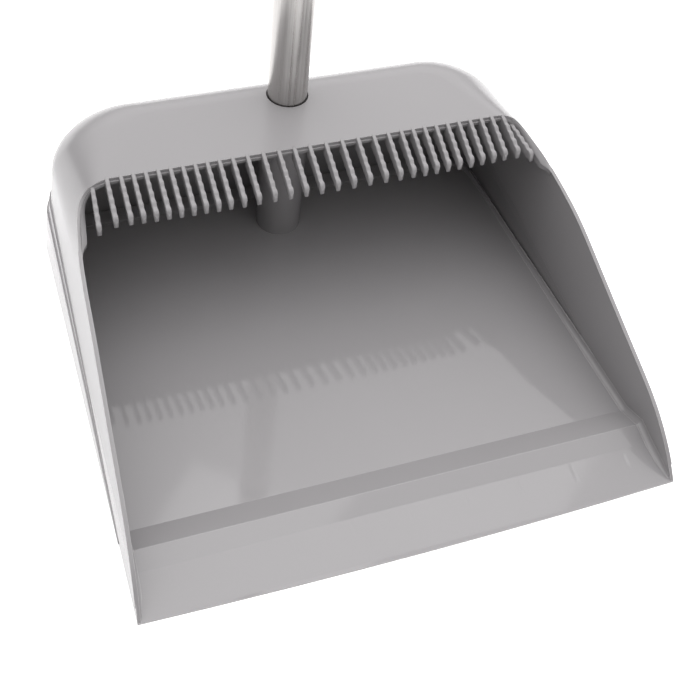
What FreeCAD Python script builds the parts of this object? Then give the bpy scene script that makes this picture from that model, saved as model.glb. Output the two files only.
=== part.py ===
"""Upright dustpan with a hooded bin, a brush-cleaning comb and a three-piece steel pole.

Millimetres, +Z up.  The origin is on the ground under the middle of the pan's footprint:
the lip faces -Y, the back wall and the pole are towards +Y.
"""
import FreeCAD, Part
import math
import os

V = FreeCAD.Vector

# ---- pan: overall ---------------------------------------------------------
pan_width = 290.0            # across the two lip corners
pan_depth = 272.0            # lip corners to the back of the skirt
hood_height = 100.5          # ground to the top of the hood
hood_depth = 78.0            # front edge of the hood to the back of the skirt
wall = 1.7                   # moulded wall of sides, back and hood
floor_wall = 2.0             # moulded wall of the floor and lip
lip_bow = 2.4                # the lip edge bulges forward in the middle

# ---- pan: draft and roundings ---------------------------------------------
side_taper = 0.036           # half width lost per mm of depth, upper walls
skirt_taper = 0.0285         # the same for the lowest skirt
side_lean = 0.068            # half width lost per mm of height
foot_corner = 18.0           # plan radius of the rear corners on the ground
top_corner = 40.0            # the same at the height of the hood
shoulder_height = 32.0       # height over which the hood rounds off
mouth_shoulder = 23.0        # how far it rounds in from the sides, at the hood edge
rear_shoulder = 38.0         # the same near the rear corners
rear_shoulder_gap = 40.0     # where that holds, in front of the back
back_shoulder = 30.0         # how far it rounds in from the back
corner_draw = 0.8            # how much of that the plan corners lose in radius
shoulder_steps = 6
rim_bead = 0.4               # bead standing out along the side rims
rim_bead_height = 2.0
rim_bead_start = 6.0         # depth where the bead begins

# ---- pan: skirt ledges ----------------------------------------------------
ledge_start = 45.0           # depth where both ledges leave the ground
upper_ledge = 46.0           # height of the ledges at the back
lower_ledge = 35.0
ledge_step = 1.0             # each ledge, on the back wall
ledge_web = 1.6              # wall that joins one skirt to the next

# ---- pan: floor, ridge and lip --------------------------------------------
lip_edge = 0.8               # thickness of the lip's front edge
crease_depth, crease_height = 23.7, 5.4
ridge_depth, ridge_height = 34.2, 9.0
floor_start_depth, floor_start_height = 49.0, 3.2
floor_rear_height = 5.6
rib_pitch = 31.0             # stiffening ribs under the ridge
rib_thickness = 1.6
rib_front_depth = 12.0

# ---- side rim -------------------------------------------------------------
# its crest, as shares of the depth of the hood edge and of the hood's height
rim_shares = [(0.0, 0.003), (0.086, 0.194), (0.1685, 0.3085), (0.2785, 0.408),
              (0.536, 0.622), (0.6855, 0.7393), (0.7835, 0.791), (0.8763, 0.8408)]
hood_edge_drop = 5.0         # upright front face of the hood edge
hood_edge_lean = 0.35        # how the rim's bend leans where it meets that face

# ---- comb -----------------------------------------------------------------
strip_thickness = 3.4
strip_depth = 3.2            # how far the strip reaches back under the hood
strip_proud = 1.0            # how far it stands out of the hood edge
strip_end_share = 0.848      # where its ends stop, as a share of the hood edge's depth
strip_end_slant = 4.0        # slope of those ends
fin_thickness = 2.3
fin_reach = 24.0             # beyond the hood edge, at the middle
fin_drop = 8.7               # fall of the crest from the edge to the tip
fin_end_loss = 0.1           # share of reach and drop lost at the row's ends
fin_hook = 5.5               # spike that lies on the hood top
fin_hook_height = 0.7
fin_root_depth = 6.0
fin_tip_depth = 3.2
fin_bumps = 5
fin_bump_height = 0.7
fin_overlap = 0.5            # how far the hook's foot sinks below the hood's face
pitches = (8.9, 8.9, 8.9, 8.9, 8.2, 7.5) + (6.7,) * 8 + (7.8, 8.9)
left_share, right_share = 0.970, 1.024   # the row is a little wider on the right
comb_offset = -1.9           # middle fin from the middle of the pan
comb_end_margin = 8.6        # last fin inside the side wall

# ---- pole -----------------------------------------------------------------
pole_diameter = 22.0
tube_wall = 0.8
pole_back_gap = 33.5         # pole axis to the back of the skirt
hood_hole_gap = 0.7          # around the pole in the hood
socket_fit = 0.08            # pole in its socket
socket_wall = 2.2
socket_floor = 1.5           # closed bottom of the socket, under the floor
socket_flange = 4.5          # flange round the socket's bottom
socket_top_gap = 0.6         # socket top below the hood
seat_gap = 0.05              # pole foot above the socket bottom
lower_length = 290.0
middle_length = 265.0
upper_length = 270.0

# ---- plastic connectors between the tubes ---------------------------------
collar_height = 8.0
collar_proud = 0.7
spigot_length = 45.0         # reach into the tube below
stub_length = 30.0           # reach into the tube above
spigot_fit = 0.05
spigot_wall = 1.15
rivet_diameter = 3.0
rivet_height = 15.0          # above the collar
rivet_head = 0.8

# ---- snap buttons ---------------------------------------------------------
button_diameter = 7.0
button_fit = 0.1
button_travel = 3.2
button_drop = 25.0           # below the collar
button_flange = 1.1          # flange radius beyond the button
button_flange_height = 1.0
spring_strip = 0.5
spring_width = 6.0
spring_length = 24.0
spring_gap = 0.3             # spare room at full travel

# ---- grip, cap and hanging loop -------------------------------------------
grip_length = 125.0
grip_wall = 2.6
grip_top_gap = 4.0           # bare tube between grip and cap
grip_rings = 12
grip_ring_depth = 0.6
cap_rim_height = 9.0
cap_proud = 1.0
cap_plug_length = 22.0
loop_stem_diameter = 9.0
loop_stem_fit = 0.08
loop_stem_length = 14.0
loop_lock = 1.2              # barb that keeps the stem in the cap
loop_width = 30.0
loop_height = 42.0
loop_bar = 6.0
loop_gap = 0.4               # loop shoulder above the cap

# ---- broom clip -----------------------------------------------------------
clip_height = 24.0
clip_wall = 3.0
clip_fit = 0.05              # clip on the dustpan's pole
broom_diameter = 22.0
broom_clip_fit = 0.2
clip_spacing = 34.0          # between the two pole axes
clip_mouth = 100.0           # open angle of each jaw, degrees
clip_position = 0.32         # up the upper tube, as a share of its length

# ---- worked out -----------------------------------------------------------
y_lip = (lip_bow - pan_depth) / 2.0
y_back = y_lip + pan_depth
y_pole = y_back - pole_back_gap
hood_edge = pan_depth - hood_depth
pole_radius = pole_diameter / 2.0
tube_bore = pole_radius - tube_wall
side_reach = 2.0 * pan_width
rear_shoulder_depth = pan_depth - rear_shoulder_gap
rim_points = [(depth * hood_edge, height * hood_height) for depth, height in rim_shares]
strip_end_depth = strip_end_share * hood_edge
connector_bore = 2.0 * (tube_bore - spigot_fit - spigot_wall)
rib_count = int(pan_width / rib_pitch)


def floor_height(depth):
    """Top of the floor behind the ridge."""
    rise = (floor_rear_height - floor_start_height) / (pan_depth - floor_start_depth)
    return floor_start_height + rise * (depth - floor_start_depth)


def unit(vector):
    return vector / vector.Length


def rounded_wire(points, radii):
    """Closed wire through the points, with each corner rounded by its own radius."""
    corners = []
    for index, here in enumerate(points):
        back = unit(points[index - 1] - here)
        ahead = unit(points[(index + 1) % len(points)] - here)
        radius = radii[index]
        half = math.acos(back.dot(ahead)) / 2.0
        reach = radius / math.tan(half)
        middle = here + unit(back + ahead) * (radius / math.sin(half) - radius)
        corners.append((here + back * reach, middle, here + ahead * reach, radius))
    edges = []
    for index, (start, middle, end, radius) in enumerate(corners):
        previous_end = corners[index - 1][2]
        if (start - previous_end).Length > 1e-6:
            edges.append(Part.makeLine(previous_end, start))
        if radius > 0:
            edges.append(Part.Arc(start, middle, end).toShape())
    return Part.Wire(edges)


def side_prism(profile, half=side_reach):
    """Closed (depth, height) outline drawn out across the pan's width."""
    points = [V(-half, y_lip + depth, height) for depth, height in profile]
    face = Part.Face(Part.makePolygon(points + points[:1]))
    return face.extrude(V(2.0 * half, 0, 0))


def cylinder(radius, low, high, x=0.0, y=None):
    return Part.makeCylinder(radius, high - low, V(x, y_pole if y is None else y, low))


def ring(outer, inner, low, high):
    return cylinder(outer, low, high).cut(cylinder(inner, low - 1.0, high + 1.0))


# ---- pan ------------------------------------------------------------------
def half_width(depth, height, taper, inset):
    return pan_width / 2.0 - taper * depth - side_lean * height - inset


def plan_outline(height, taper, back, inset, front, turn=0.0):
    """Horizontal outline of the pan, drawn in by inset; turn is the angle up the shoulder."""
    draw = 1.0 - math.cos(turn)
    mouth_half = half_width(hood_edge, height, taper, inset) - (mouth_shoulder - inset) * draw
    rear_half = (half_width(rear_shoulder_depth, height, taper, inset)
                 - (rear_shoulder - inset) * draw)
    slope = (rear_half - mouth_half) / (rear_shoulder_depth - hood_edge)
    rear = pan_depth - back - inset - (back_shoulder - inset) * draw
    halves = [mouth_half + slope * (depth - hood_edge) for depth in (front, rear)]
    points = [V(-halves[0], y_lip + front, height), V(halves[0], y_lip + front, height),
              V(halves[1], y_lip + rear, height), V(-halves[1], y_lip + rear, height)]
    rise = height / hood_height
    radius = foot_corner + (top_corner - foot_corner) * rise - inset
    radius -= (back_shoulder - inset) * draw * corner_draw
    return rounded_wire(points, [0.0, 0.0, radius, radius])


def pan_volume(taper, back, inset, front, low, high):
    """Filled pan shape: leaning walls, then a shoulder that rounds into the hood top."""
    spring = high - shoulder_height + inset
    foot = [plan_outline(height, taper, back, inset, front) for height in (low, spring)]
    walls = Part.makeLoft(foot, True, True)
    turns = [math.pi / 2.0 * step / shoulder_steps for step in range(shoulder_steps + 1)]
    heights = [spring + (high - spring) * math.sin(turn) for turn in turns]
    rings = [plan_outline(height, taper, back, inset, front, turn)
             for height, turn in zip(heights, turns)]
    crown = Part.makeLoft(rings, True, False)
    return walls.fuse(crown)


def below_ledge(height, drop):
    """Everything under the slanting line of a ledge, lowered by drop."""
    far = pan_depth + 20.0
    slope = height / (pan_depth - ledge_start)
    return side_prism([(ledge_start, -drop), (far, slope * (far - ledge_start) - drop),
                       (far, -40.0), (ledge_start, -40.0)])


def stepped_volume(inset, web, front, low, high):
    """Upper walls and both wider skirts as one filled shape."""
    middle_taper = (side_taper + skirt_taper) / 2.0
    upper = pan_volume(side_taper, 2.0 * ledge_step, inset, front, low, high)
    middle = pan_volume(middle_taper, ledge_step, inset, front, low, high)
    lowest = pan_volume(skirt_taper, 0.0, inset, front, low, high)
    middle = middle.common(below_ledge(upper_ledge, web))
    lowest = lowest.common(below_ledge(lower_ledge, web))
    return upper.fuse(middle).fuse(lowest)


def rim_curve(shift_depth=0.0, shift_height=0.0):
    """Edge of the opening seen from the side: side rim, shoulder, upright hood edge."""
    rim = [V(-side_reach, y_lip + depth + shift_depth, height + shift_height)
           for depth, height in rim_points]
    spline = Part.BSplineCurve()
    spline.interpolate(rim)
    foot = V(-side_reach, y_lip + hood_edge + shift_depth,
             hood_height - hood_edge_drop + shift_height)
    start = rim[-1]
    bend = Part.BSplineCurve()
    bend.interpolate(Points=[start, foot],
                     Tangents=[unit(start - rim[-2]) * (foot - start).Length,
                               V(0, hood_edge_lean, 1.0) * (foot - start).Length],
                     TangentFlags=[True, True])
    return spline, bend, rim[0], foot


def opening_prism(shift_depth=0.0, shift_height=0.0):
    """What is open above the side rims and in front of the hood edge."""
    spline, bend, tip, foot = rim_curve(shift_depth, shift_height)
    top = hood_height + 60.0
    ahead = y_lip - 60.0
    corners = [foot, V(foot.x, foot.y, top), V(foot.x, ahead, top), V(foot.x, ahead, tip.z), tip]
    edges = [spline.toShape(), bend.toShape()]
    edges += [Part.makeLine(start, end) for start, end in zip(corners, corners[1:])]
    face = Part.Face(Part.Wire(edges))
    return face.extrude(V(2.0 * side_reach, 0, 0))


def lip_front():
    """Plan shape that gives the lip its slight bow."""
    half = pan_width / 2.0
    nose = Part.Arc(V(-half, y_lip, -5), V(0, y_lip - lip_bow, -5), V(half, y_lip, -5)).toShape()
    far = y_back + 30.0
    corners = [V(half, y_lip, -5), V(half + 20, y_lip, -5), V(half + 20, far, -5),
               V(-half - 20, far, -5), V(-half - 20, y_lip, -5), V(-half, y_lip, -5)]
    edges = [nose] + [Part.makeLine(start, end) for start, end in zip(corners, corners[1:])]
    face = Part.Face(Part.Wire(edges))
    return face.extrude(V(0, 0, hood_height + 40.0))


def floor_slab():
    """Lip, crease, ridge and floor as one bent sheet."""
    tip = -lip_bow - 1.0
    rear_top = floor_height(pan_depth)
    top = [(tip, lip_edge), (0.0, lip_edge), (crease_depth, crease_height),
           (ridge_depth, ridge_height), (floor_start_depth, floor_start_height),
           (pan_depth, rear_top)]
    under = [(pan_depth, rear_top - floor_wall),
             (floor_start_depth + 1.0, floor_start_height - floor_wall),
             (ridge_depth, ridge_height - floor_wall * 1.15),
             (crease_depth, crease_height - floor_wall * 1.1),
             (4.0, 0.0), (tip, 0.0)]
    return side_prism(top + under)


def ridge_ribs():
    """Thin gussets that carry the lip and the ridge on the ground."""
    ribs = []
    profile = [(rib_front_depth, 0.0), (rib_front_depth, 1.0),
               (crease_depth, crease_height - 1.0), (ridge_depth, ridge_height - 1.0),
               (floor_start_depth, floor_start_height - 1.0), (floor_start_depth, 0.0)]
    for index in range(rib_count):
        rib = side_prism(profile, rib_thickness / 2.0)
        rib.translate(V((index - (rib_count - 1) / 2.0) * rib_pitch, 0, 0))
        ribs.append(rib)
    return ribs


def rim_beads(outer, cavity):
    """Narrow bead along the outside of both side rims, up to the comb strip."""
    skin = pan_volume(side_taper, 2.0 * ledge_step, -rim_bead, -30.0, -10.0, hood_height)
    band = skin.cut(cavity).common(opening_prism(rim_bead_height * 0.5, -rim_bead_height))
    band = band.cut(opening_prism())
    keep = side_prism([(rim_bead_start, 0.0), (strip_end_depth, 0.0),
                       (strip_end_depth, hood_height), (rim_bead_start, hood_height)])
    return band.common(keep)


def make_pan():
    """The one-piece moulding: floor, sides, back and hood."""
    front = -30.0
    outer = stepped_volume(0.0, 0.0, front, 0.0, hood_height).common(lip_front())
    cavity = stepped_volume(wall, ledge_web, front - 20.0, -20.0, hood_height - wall)
    walls = outer.cut(cavity).cut(opening_prism())
    walls = walls.fuse(rim_beads(outer, cavity))
    base = floor_slab().common(outer)
    pan = walls.fuse([base] + [rib.common(outer) for rib in ridge_ribs()]).removeSplitter()
    hood_hole = cylinder(pole_radius + hood_hole_gap, hood_height - shoulder_height,
                         hood_height + 5.0)
    floor_hole = cylinder(socket_radius(), -5.0, floor_rear_height + 5.0)
    return pan.cut(hood_hole).cut(floor_hole)


# ---- comb -----------------------------------------------------------------
def fin_positions():
    """Fins stand wide apart at the middle and the ends, closer between."""
    room = half_width(hood_edge, hood_height, side_taper, comb_end_margin) - comb_offset
    scale = room / (sum(pitches) * right_share)
    places = [comb_offset]
    for side, share in ((-1.0, left_share), (1.0, right_share)):
        for count in range(1, len(pitches) + 1):
            places.append(comb_offset + side * share * scale * sum(pitches[:count]))
    return sorted(places)


def hood_top(x):
    """Height of the hood's outer face over its front edge: flat, then down the shoulder."""
    over = abs(x) - half_width(hood_edge, hood_height, side_taper, mouth_shoulder)
    if over <= 0:
        return hood_height
    share = over / mouth_shoulder
    return hood_height - shoulder_height * (1.0 - math.sqrt(1.0 - share ** 2))


def fin_outline(top, length):
    """Side view of a fin: hook on the hood, scalloped crest, round tip, straight keel."""
    crest_start = V(0, y_lip + hood_edge, top + fin_hook_height)
    tip = V(0, y_lip + hood_edge - fin_reach * length, top - fin_drop * length)
    along = tip - crest_start
    normal = V(0, -along.z, along.y) * (-1.0 / along.Length)
    edges = []
    stops = [crest_start + along * (step / float(fin_bumps)) for step in range(fin_bumps + 1)]
    for start, end in zip(stops, stops[1:]):
        crown = (start + end) * 0.5 + normal * fin_bump_height
        edges.append(Part.Arc(start, crown, end).toShape())
    keel = tip - normal * fin_tip_depth
    nose = (tip + keel) * 0.5 + unit(along) * (fin_tip_depth / 2.0)
    edges.append(Part.Arc(tip, nose, keel).toShape())
    heel_depth = y_lip + hood_edge + strip_proud
    root = V(0, heel_depth, top - fin_root_depth)
    heel = V(0, heel_depth, top - fin_overlap)
    hook = V(0, y_lip + hood_edge + fin_hook, top - fin_overlap)
    corners = [keel, root, heel, hook, crest_start]
    edges += [Part.makeLine(start, end) for start, end in zip(corners, corners[1:])]
    return Part.Wire(edges)


def make_fin(x):
    """One fin, a little shorter near the row's ends."""
    row_half = half_width(hood_edge, hood_height, side_taper, comb_end_margin)
    length = 1.0 - fin_end_loss * (abs(x) / row_half) ** 4
    face = Part.Face(fin_outline(hood_top(x), length))
    fin = face.extrude(V(fin_thickness, 0, 0))
    fin.translate(V(x - fin_thickness / 2.0, 0, 0))
    return fin


def make_comb():
    """Strip inside the hood edge with its row of fins hooked over the edge."""
    back = 2.0 * ledge_step
    outside = pan_volume(side_taper, back, wall, -30.0, -10.0, hood_height - wall)
    inside_inset = wall + strip_thickness
    inside = pan_volume(side_taper, back, inside_inset, -40.0, -20.0,
                        hood_height - inside_inset)
    band = opening_prism(strip_depth, -strip_depth).cut(opening_prism(-strip_proud, strip_proud))
    strip = outside.cut(inside).common(band)
    far = pan_depth + 40.0
    low = hood_height / 2.0
    keep = side_prism([(strip_end_depth - strip_end_slant, hood_height), (far, hood_height),
                       (far, low), (strip_end_depth + strip_end_slant, low)])
    strip = strip.common(keep)
    hood_block = pan_volume(side_taper, back, 0.0, -30.0, 0.0, hood_height)
    hood_block = hood_block.cut(opening_prism())
    fins = [make_fin(x).cut(hood_block) for x in fin_positions()]
    comb = strip.fuse(fins)
    return comb


# ---- pole socket ----------------------------------------------------------
def socket_radius():
    return pole_radius + socket_fit + socket_wall


def socket_seat():
    """Height of the closed bottom that the pole stands on."""
    return floor_height(y_pole - y_lip) - floor_wall


def hood_underside(depth):
    """Height of the hood's inner face on the middle line, where it rounds off to the back."""
    over = depth - (pan_depth - 2.0 * ledge_step - back_shoulder)
    share = max(over, 0.0) / (back_shoulder - wall)
    fall = (shoulder_height - wall) * (1.0 - math.sqrt(1.0 - share ** 2))
    return hood_height - wall - fall


def make_socket():
    """Sleeve pushed up through the floor, its closed flange welded underneath."""
    seat = socket_seat()
    pole_depth = y_pole - y_lip
    top = hood_underside(pole_depth + socket_radius()) - socket_top_gap
    flange_top = floor_height(pole_depth - socket_radius() - socket_flange) - floor_wall
    body = cylinder(socket_radius(), seat - socket_floor, top)
    flange = cylinder(socket_radius() + socket_flange, seat - socket_floor, flange_top)
    bore = cylinder(pole_radius + socket_fit, seat, top + 1.0)
    return body.fuse(flange).cut(bore)


# ---- tubes ----------------------------------------------------------------
def lower_bottom():
    return socket_seat() + seat_gap + plug_head()


def plug_head():
    return 2.0


def lower_top():
    return lower_bottom() + lower_length


def middle_bottom():
    return lower_top() + collar_height


def middle_top():
    return middle_bottom() + middle_length


def upper_bottom():
    return middle_top() + collar_height


def upper_top():
    return upper_bottom() + upper_length


def button_hole(collar_bottom, radius):
    """Round hole for a snap button through the front of a tube."""
    height = collar_bottom - button_drop
    return Part.makeCylinder(radius, pole_radius + 5.0, V(0, y_pole, height), V(0, -1, 0))


def rivet_rod(collar_top, radius, reach):
    height = collar_top + rivet_height
    return Part.makeCylinder(radius, 2.0 * reach, V(-reach, y_pole, height), V(1, 0, 0))


def make_tube(low, high, collar_top=None, collar_bottom=None):
    """Thin steel tube, drilled for the rivet at its foot and the button near its top."""
    tube = ring(pole_radius, tube_bore, low, high)
    if collar_top is not None:
        tube = tube.cut(rivet_rod(collar_top, rivet_diameter / 2.0, pole_radius + 5.0))
    if collar_bottom is not None:
        tube = tube.cut(button_hole(collar_bottom, button_diameter / 2.0 + button_fit))
    return tube


def make_foot_plug():
    """Plastic plug that closes the pole's foot and stands in the socket."""
    bottom = lower_bottom() - plug_head()
    head = cylinder(pole_radius, bottom, lower_bottom())
    stem = ring(tube_bore, tube_bore - 2.0, lower_bottom(), lower_bottom() + 18.0)
    plug = head.fuse(stem)
    rim = [edge for edge in plug.Edges
           if abs(edge.BoundBox.ZMax - bottom) < 1e-4 and edge.BoundBox.XLength > pole_diameter - 1]
    return plug.makeChamfer(0.6, rim)


def make_connector(collar_bottom):
    """Collar with a spigot for the tube below and a riveted stub for the tube above."""
    collar_top = collar_bottom + collar_height
    collar = cylinder(pole_radius + collar_proud, collar_bottom, collar_top)
    rims = [edge for edge in collar.Edges if len(edge.Vertexes) == 1]
    collar = collar.makeFillet(collar_proud * 0.9, rims)
    spigot = cylinder(tube_bore - spigot_fit, collar_bottom - spigot_length, collar_bottom)
    foot = [edge for edge in spigot.Edges if edge.BoundBox.ZMax < collar_bottom - spigot_length + 1]
    spigot = spigot.makeChamfer(0.5, foot)
    stub = cylinder(tube_bore, collar_top, collar_top + stub_length)
    body = collar.fuse([spigot, stub])
    bore = cylinder(connector_bore / 2.0, collar_bottom - spigot_length - 1.0,
                    collar_top + stub_length + 1.0)
    body = body.cut(bore)
    body = body.cut(rivet_rod(collar_top, rivet_diameter / 2.0, pole_radius + 5.0))
    return body.cut(button_hole(collar_bottom, button_diameter / 2.0 + button_fit))


def make_rivets(collar_bottom):
    """Two short rivets, one each side, through tube and stub."""
    collar_top = collar_bottom + collar_height
    height = collar_top + rivet_height
    inner = connector_bore / 2.0
    solids = []
    for side in (-1, 1):
        shank = Part.makeCylinder(rivet_diameter / 2.0, pole_radius - inner - 0.1,
                                  V(side * (inner + 0.1), y_pole, height), V(side, 0, 0))
        head = Part.makeSphere(rivet_diameter * 0.75)
        dome = head.common(Part.makeBox(10, 10, 10, V(-5, -5, 0)))
        dome.Placement = FreeCAD.Placement(V(side * (pole_radius - 0.35), y_pole, height),
                                           FreeCAD.Rotation(V(0, 0, 1), V(side, 0, 0)))
        flat = Part.makeCylinder(pole_radius + rivet_head, 20.0, V(0, y_pole, height - 10.0))
        dome = dome.common(flat)
        dome = dome.cut(cylinder(pole_radius, height - 10.0, height + 10.0))
        solids.append(shank.fuse(dome).removeSplitter())
    return Part.makeCompound(solids)


# ---- snap buttons ---------------------------------------------------------
def button_flange_face():
    """Distance from the pole axis at which the flange meets the connector's bore."""
    half = button_diameter / 2.0 + button_flange
    return math.sqrt((connector_bore / 2.0 - 0.05) ** 2 - half ** 2)


def make_button(collar_bottom):
    """Domed steel button with an inner flange that stops it in the bore."""
    height = collar_bottom - button_drop
    face = button_flange_face()
    out = pole_radius + button_travel - 0.4
    stem = Part.makeCylinder(button_diameter / 2.0, out - face + button_flange_height,
                             V(0, y_pole - face + button_flange_height, height), V(0, -1, 0))
    crown = [edge for edge in stem.Edges
             if len(edge.Vertexes) == 1 and edge.BoundBox.YMax < y_pole - out + 0.01]
    stem = stem.makeFillet(1.6, crown)
    flange = Part.makeCylinder(button_diameter / 2.0 + button_flange, button_flange_height,
                               V(0, y_pole - face + button_flange_height, height), V(0, -1, 0))
    return stem.fuse(flange).removeSplitter()


def make_button_spring(collar_bottom):
    """Hairpin leaf spring behind the button."""
    height = collar_bottom - button_drop
    front = y_pole - button_flange_face() + button_flange_height
    half_width = spring_width / 2.0
    wall_reach = math.sqrt((connector_bore / 2.0) ** 2 - half_width ** 2)
    back = y_pole + wall_reach - button_travel - spring_gap
    top = height + 4.5
    bottom = top - spring_length
    bend = (back - front) / 2.0
    low = bottom + bend
    outer = rounded_wire([V(-half_width, front, top), V(-half_width, front, bottom),
                          V(-half_width, back, bottom), V(-half_width, back, top)],
                         [0, bend - 0.05, bend - 0.05, 0])
    t = spring_strip
    inner = rounded_wire([V(-half_width, front + t, top + 1), V(-half_width, front + t, bottom + t),
                          V(-half_width, back - t, bottom + t), V(-half_width, back - t, top + 1)],
                         [0, bend - t - 0.05, bend - t - 0.05, 0])
    along = V(spring_width, 0, 0)
    return Part.Face(outer).extrude(along).cut(Part.Face(inner).extrude(along))


# ---- grip, cap, loop and clip ---------------------------------------------
def grip_bottom():
    return upper_top() - grip_top_gap - grip_length


def make_grip():
    """Ribbed sleeve pushed over the top of the pole."""
    low = grip_bottom()
    sleeve = cylinder(pole_radius + grip_wall, low, low + grip_length)
    rims = [edge for edge in sleeve.Edges if len(edge.Vertexes) == 1]
    sleeve = sleeve.makeFillet(grip_wall * 0.6, rims)
    pitch = grip_length / (grip_rings + 1.0)
    for index in range(grip_rings):
        height = low + pitch * (index + 1.0)
        groove = Part.makeTorus(pole_radius + grip_wall + grip_ring_depth, grip_ring_depth * 2.0,
                                V(0, y_pole, height), V(0, 0, 1))
        sleeve = sleeve.cut(groove)
    return sleeve.cut(cylinder(pole_radius, low - 1.0, low + grip_length + 1.0))


def make_cap():
    """Cap plugged into the top tube, bored for the loop's stem."""
    base = upper_top()
    rim = cylinder(pole_radius + cap_proud, base, base + cap_rim_height)
    crown = [edge for edge in rim.Edges
             if len(edge.Vertexes) == 1 and edge.BoundBox.ZMin > base + cap_rim_height - 0.1]
    rim = rim.makeFillet(3.0, crown)
    plug = cylinder(tube_bore, base - cap_plug_length, base)
    cap = rim.fuse(plug)
    stem_bore = cylinder(loop_stem_diameter / 2.0 + loop_stem_fit, base - loop_floor(),
                         base + cap_rim_height + 1.0)
    lock_low = base - loop_floor()
    barb_room = cylinder(loop_stem_diameter / 2.0 + loop_lock + 0.3, lock_low, lock_low + 3.4)
    return cap.cut(stem_bore).cut(barb_room)


def loop_floor():
    """Depth of the stem's bore below the tube's top."""
    return loop_stem_length - cap_rim_height + 0.6


def make_loop():
    """Hanging loop that turns on its stem in the cap."""
    base = upper_top()
    shoulder = base + cap_rim_height + loop_gap
    foot = base - loop_floor() + 0.3
    stem = cylinder(loop_stem_diameter / 2.0, foot, shoulder + 2.0)
    barb = Part.makeCone(loop_stem_diameter / 2.0, loop_stem_diameter / 2.0 + loop_lock, 2.4,
                         V(0, y_pole, foot))
    half = loop_width / 2.0
    frame = []
    for inset in (0.0, loop_bar):
        corners = [V(-half + inset, y_pole - loop_bar / 2.0, shoulder + inset),
                   V(half - inset, y_pole - loop_bar / 2.0, shoulder + inset),
                   V(half - inset, y_pole - loop_bar / 2.0, shoulder + loop_height - inset),
                   V(-half + inset, y_pole - loop_bar / 2.0, shoulder + loop_height - inset)]
        radius = half - inset - 0.5
        low_radius = max(8.0 - inset, 2.0)
        wire = rounded_wire(corners, [low_radius, low_radius, radius, radius])
        frame.append(Part.Face(wire).extrude(V(0, loop_bar, 0)))
    bail = frame[0].cut(frame[1])
    rims = [edge for edge in bail.Edges
            if edge.BoundBox.YLength < 1e-6]
    bail = bail.makeFillet(1.5, rims)
    return bail.fuse([stem, barb])


def clip_low():
    return upper_bottom() + clip_position * upper_length


def jaw(radius, y):
    """One C-shaped jaw with rounded lips, its mouth facing away from the other jaw."""
    low = clip_low()
    return (Part.makeCylinder(radius + clip_wall, clip_height, V(0, y, low)),
            Part.makeCylinder(radius, clip_height + 2.0, V(0, y, low - 1.0)))


def mouth(radius, y, side):
    """Wedge cut from a jaw; side is -1 towards the front and +1 towards the back."""
    reach = radius + clip_wall + 10.0
    half = math.radians(clip_mouth / 2.0)
    low = clip_low() - 1.0
    points = [V(0, y, low), V(-reach * math.sin(half), y + side * reach * math.cos(half), low),
              V(reach * math.sin(half), y + side * reach * math.cos(half), low)]
    face = Part.Face(Part.makePolygon(points + points[:1]))
    return face.extrude(V(0, 0, clip_height + 2.0))


def make_clip():
    """Double clip: one jaw holds the dustpan's pole, the other takes the broom's."""
    own = pole_radius + clip_fit
    other = broom_diameter / 2.0 + broom_clip_fit
    y_other = y_pole - clip_spacing
    own_jaw, own_bore = jaw(own, y_pole)
    other_jaw, other_bore = jaw(other, y_other)
    bridge = Part.makeBox(12.0, clip_spacing, clip_height, V(-6.0, y_other, clip_low()))
    body = own_jaw.fuse([other_jaw, bridge]).cut(own_bore).cut(other_bore)
    body = body.cut(mouth(own, y_pole, 1)).cut(mouth(other, y_other, -1))
    return body.removeSplitter()


def build():
    """Every piece by name."""
    lower_joint = lower_top()
    upper_joint = middle_top()
    return {
        "pan_shell": make_pan(),
        "scraper_comb": make_comb(),
        "pole_socket": make_socket(),
        "foot_plug": make_foot_plug(),
        "lower_tube": make_tube(lower_bottom(), lower_top(), collar_bottom=lower_joint),
        "lower_connector": make_connector(lower_joint),
        "lower_rivets": make_rivets(lower_joint),
        "lower_snap_button": make_button(lower_joint),
        "lower_button_spring": make_button_spring(lower_joint),
        "middle_tube": make_tube(middle_bottom(), middle_top(), middle_bottom(), upper_joint),
        "upper_connector": make_connector(upper_joint),
        "upper_rivets": make_rivets(upper_joint),
        "upper_snap_button": make_button(upper_joint),
        "upper_button_spring": make_button_spring(upper_joint),
        "upper_tube": make_tube(upper_bottom(), upper_top(), collar_top=upper_bottom()),
        "broom_clip": make_clip(),
        "grip_sleeve": make_grip(),
        "end_cap": make_cap(),
        "hanging_loop": make_loop(),
    }


os.makedirs("parts", exist_ok=True)
for name, shape in build().items():
    solids = shape.Solids
    print(name, len(solids), round(shape.Volume / 1000.0, 2), "cm3", shape.isValid(), shape.BoundBox)
    shape.exportStep("parts/" + name + ".step")
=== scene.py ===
"""Hooded dustpan with a hair comb, a three-piece steel pole and a broom clip.

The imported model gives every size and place.  This script gives its pieces their finishes,
and makes the fine shapes: the comb, the floor's cove, the grip's rings and the rivets.
Metres, +Z up, the lip towards -Y.
"""

import logging
import math
from dataclasses import dataclass
from enum import Enum
from typing import Sequence

import bmesh
import bpy
from mathutils import Matrix, Vector


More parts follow.
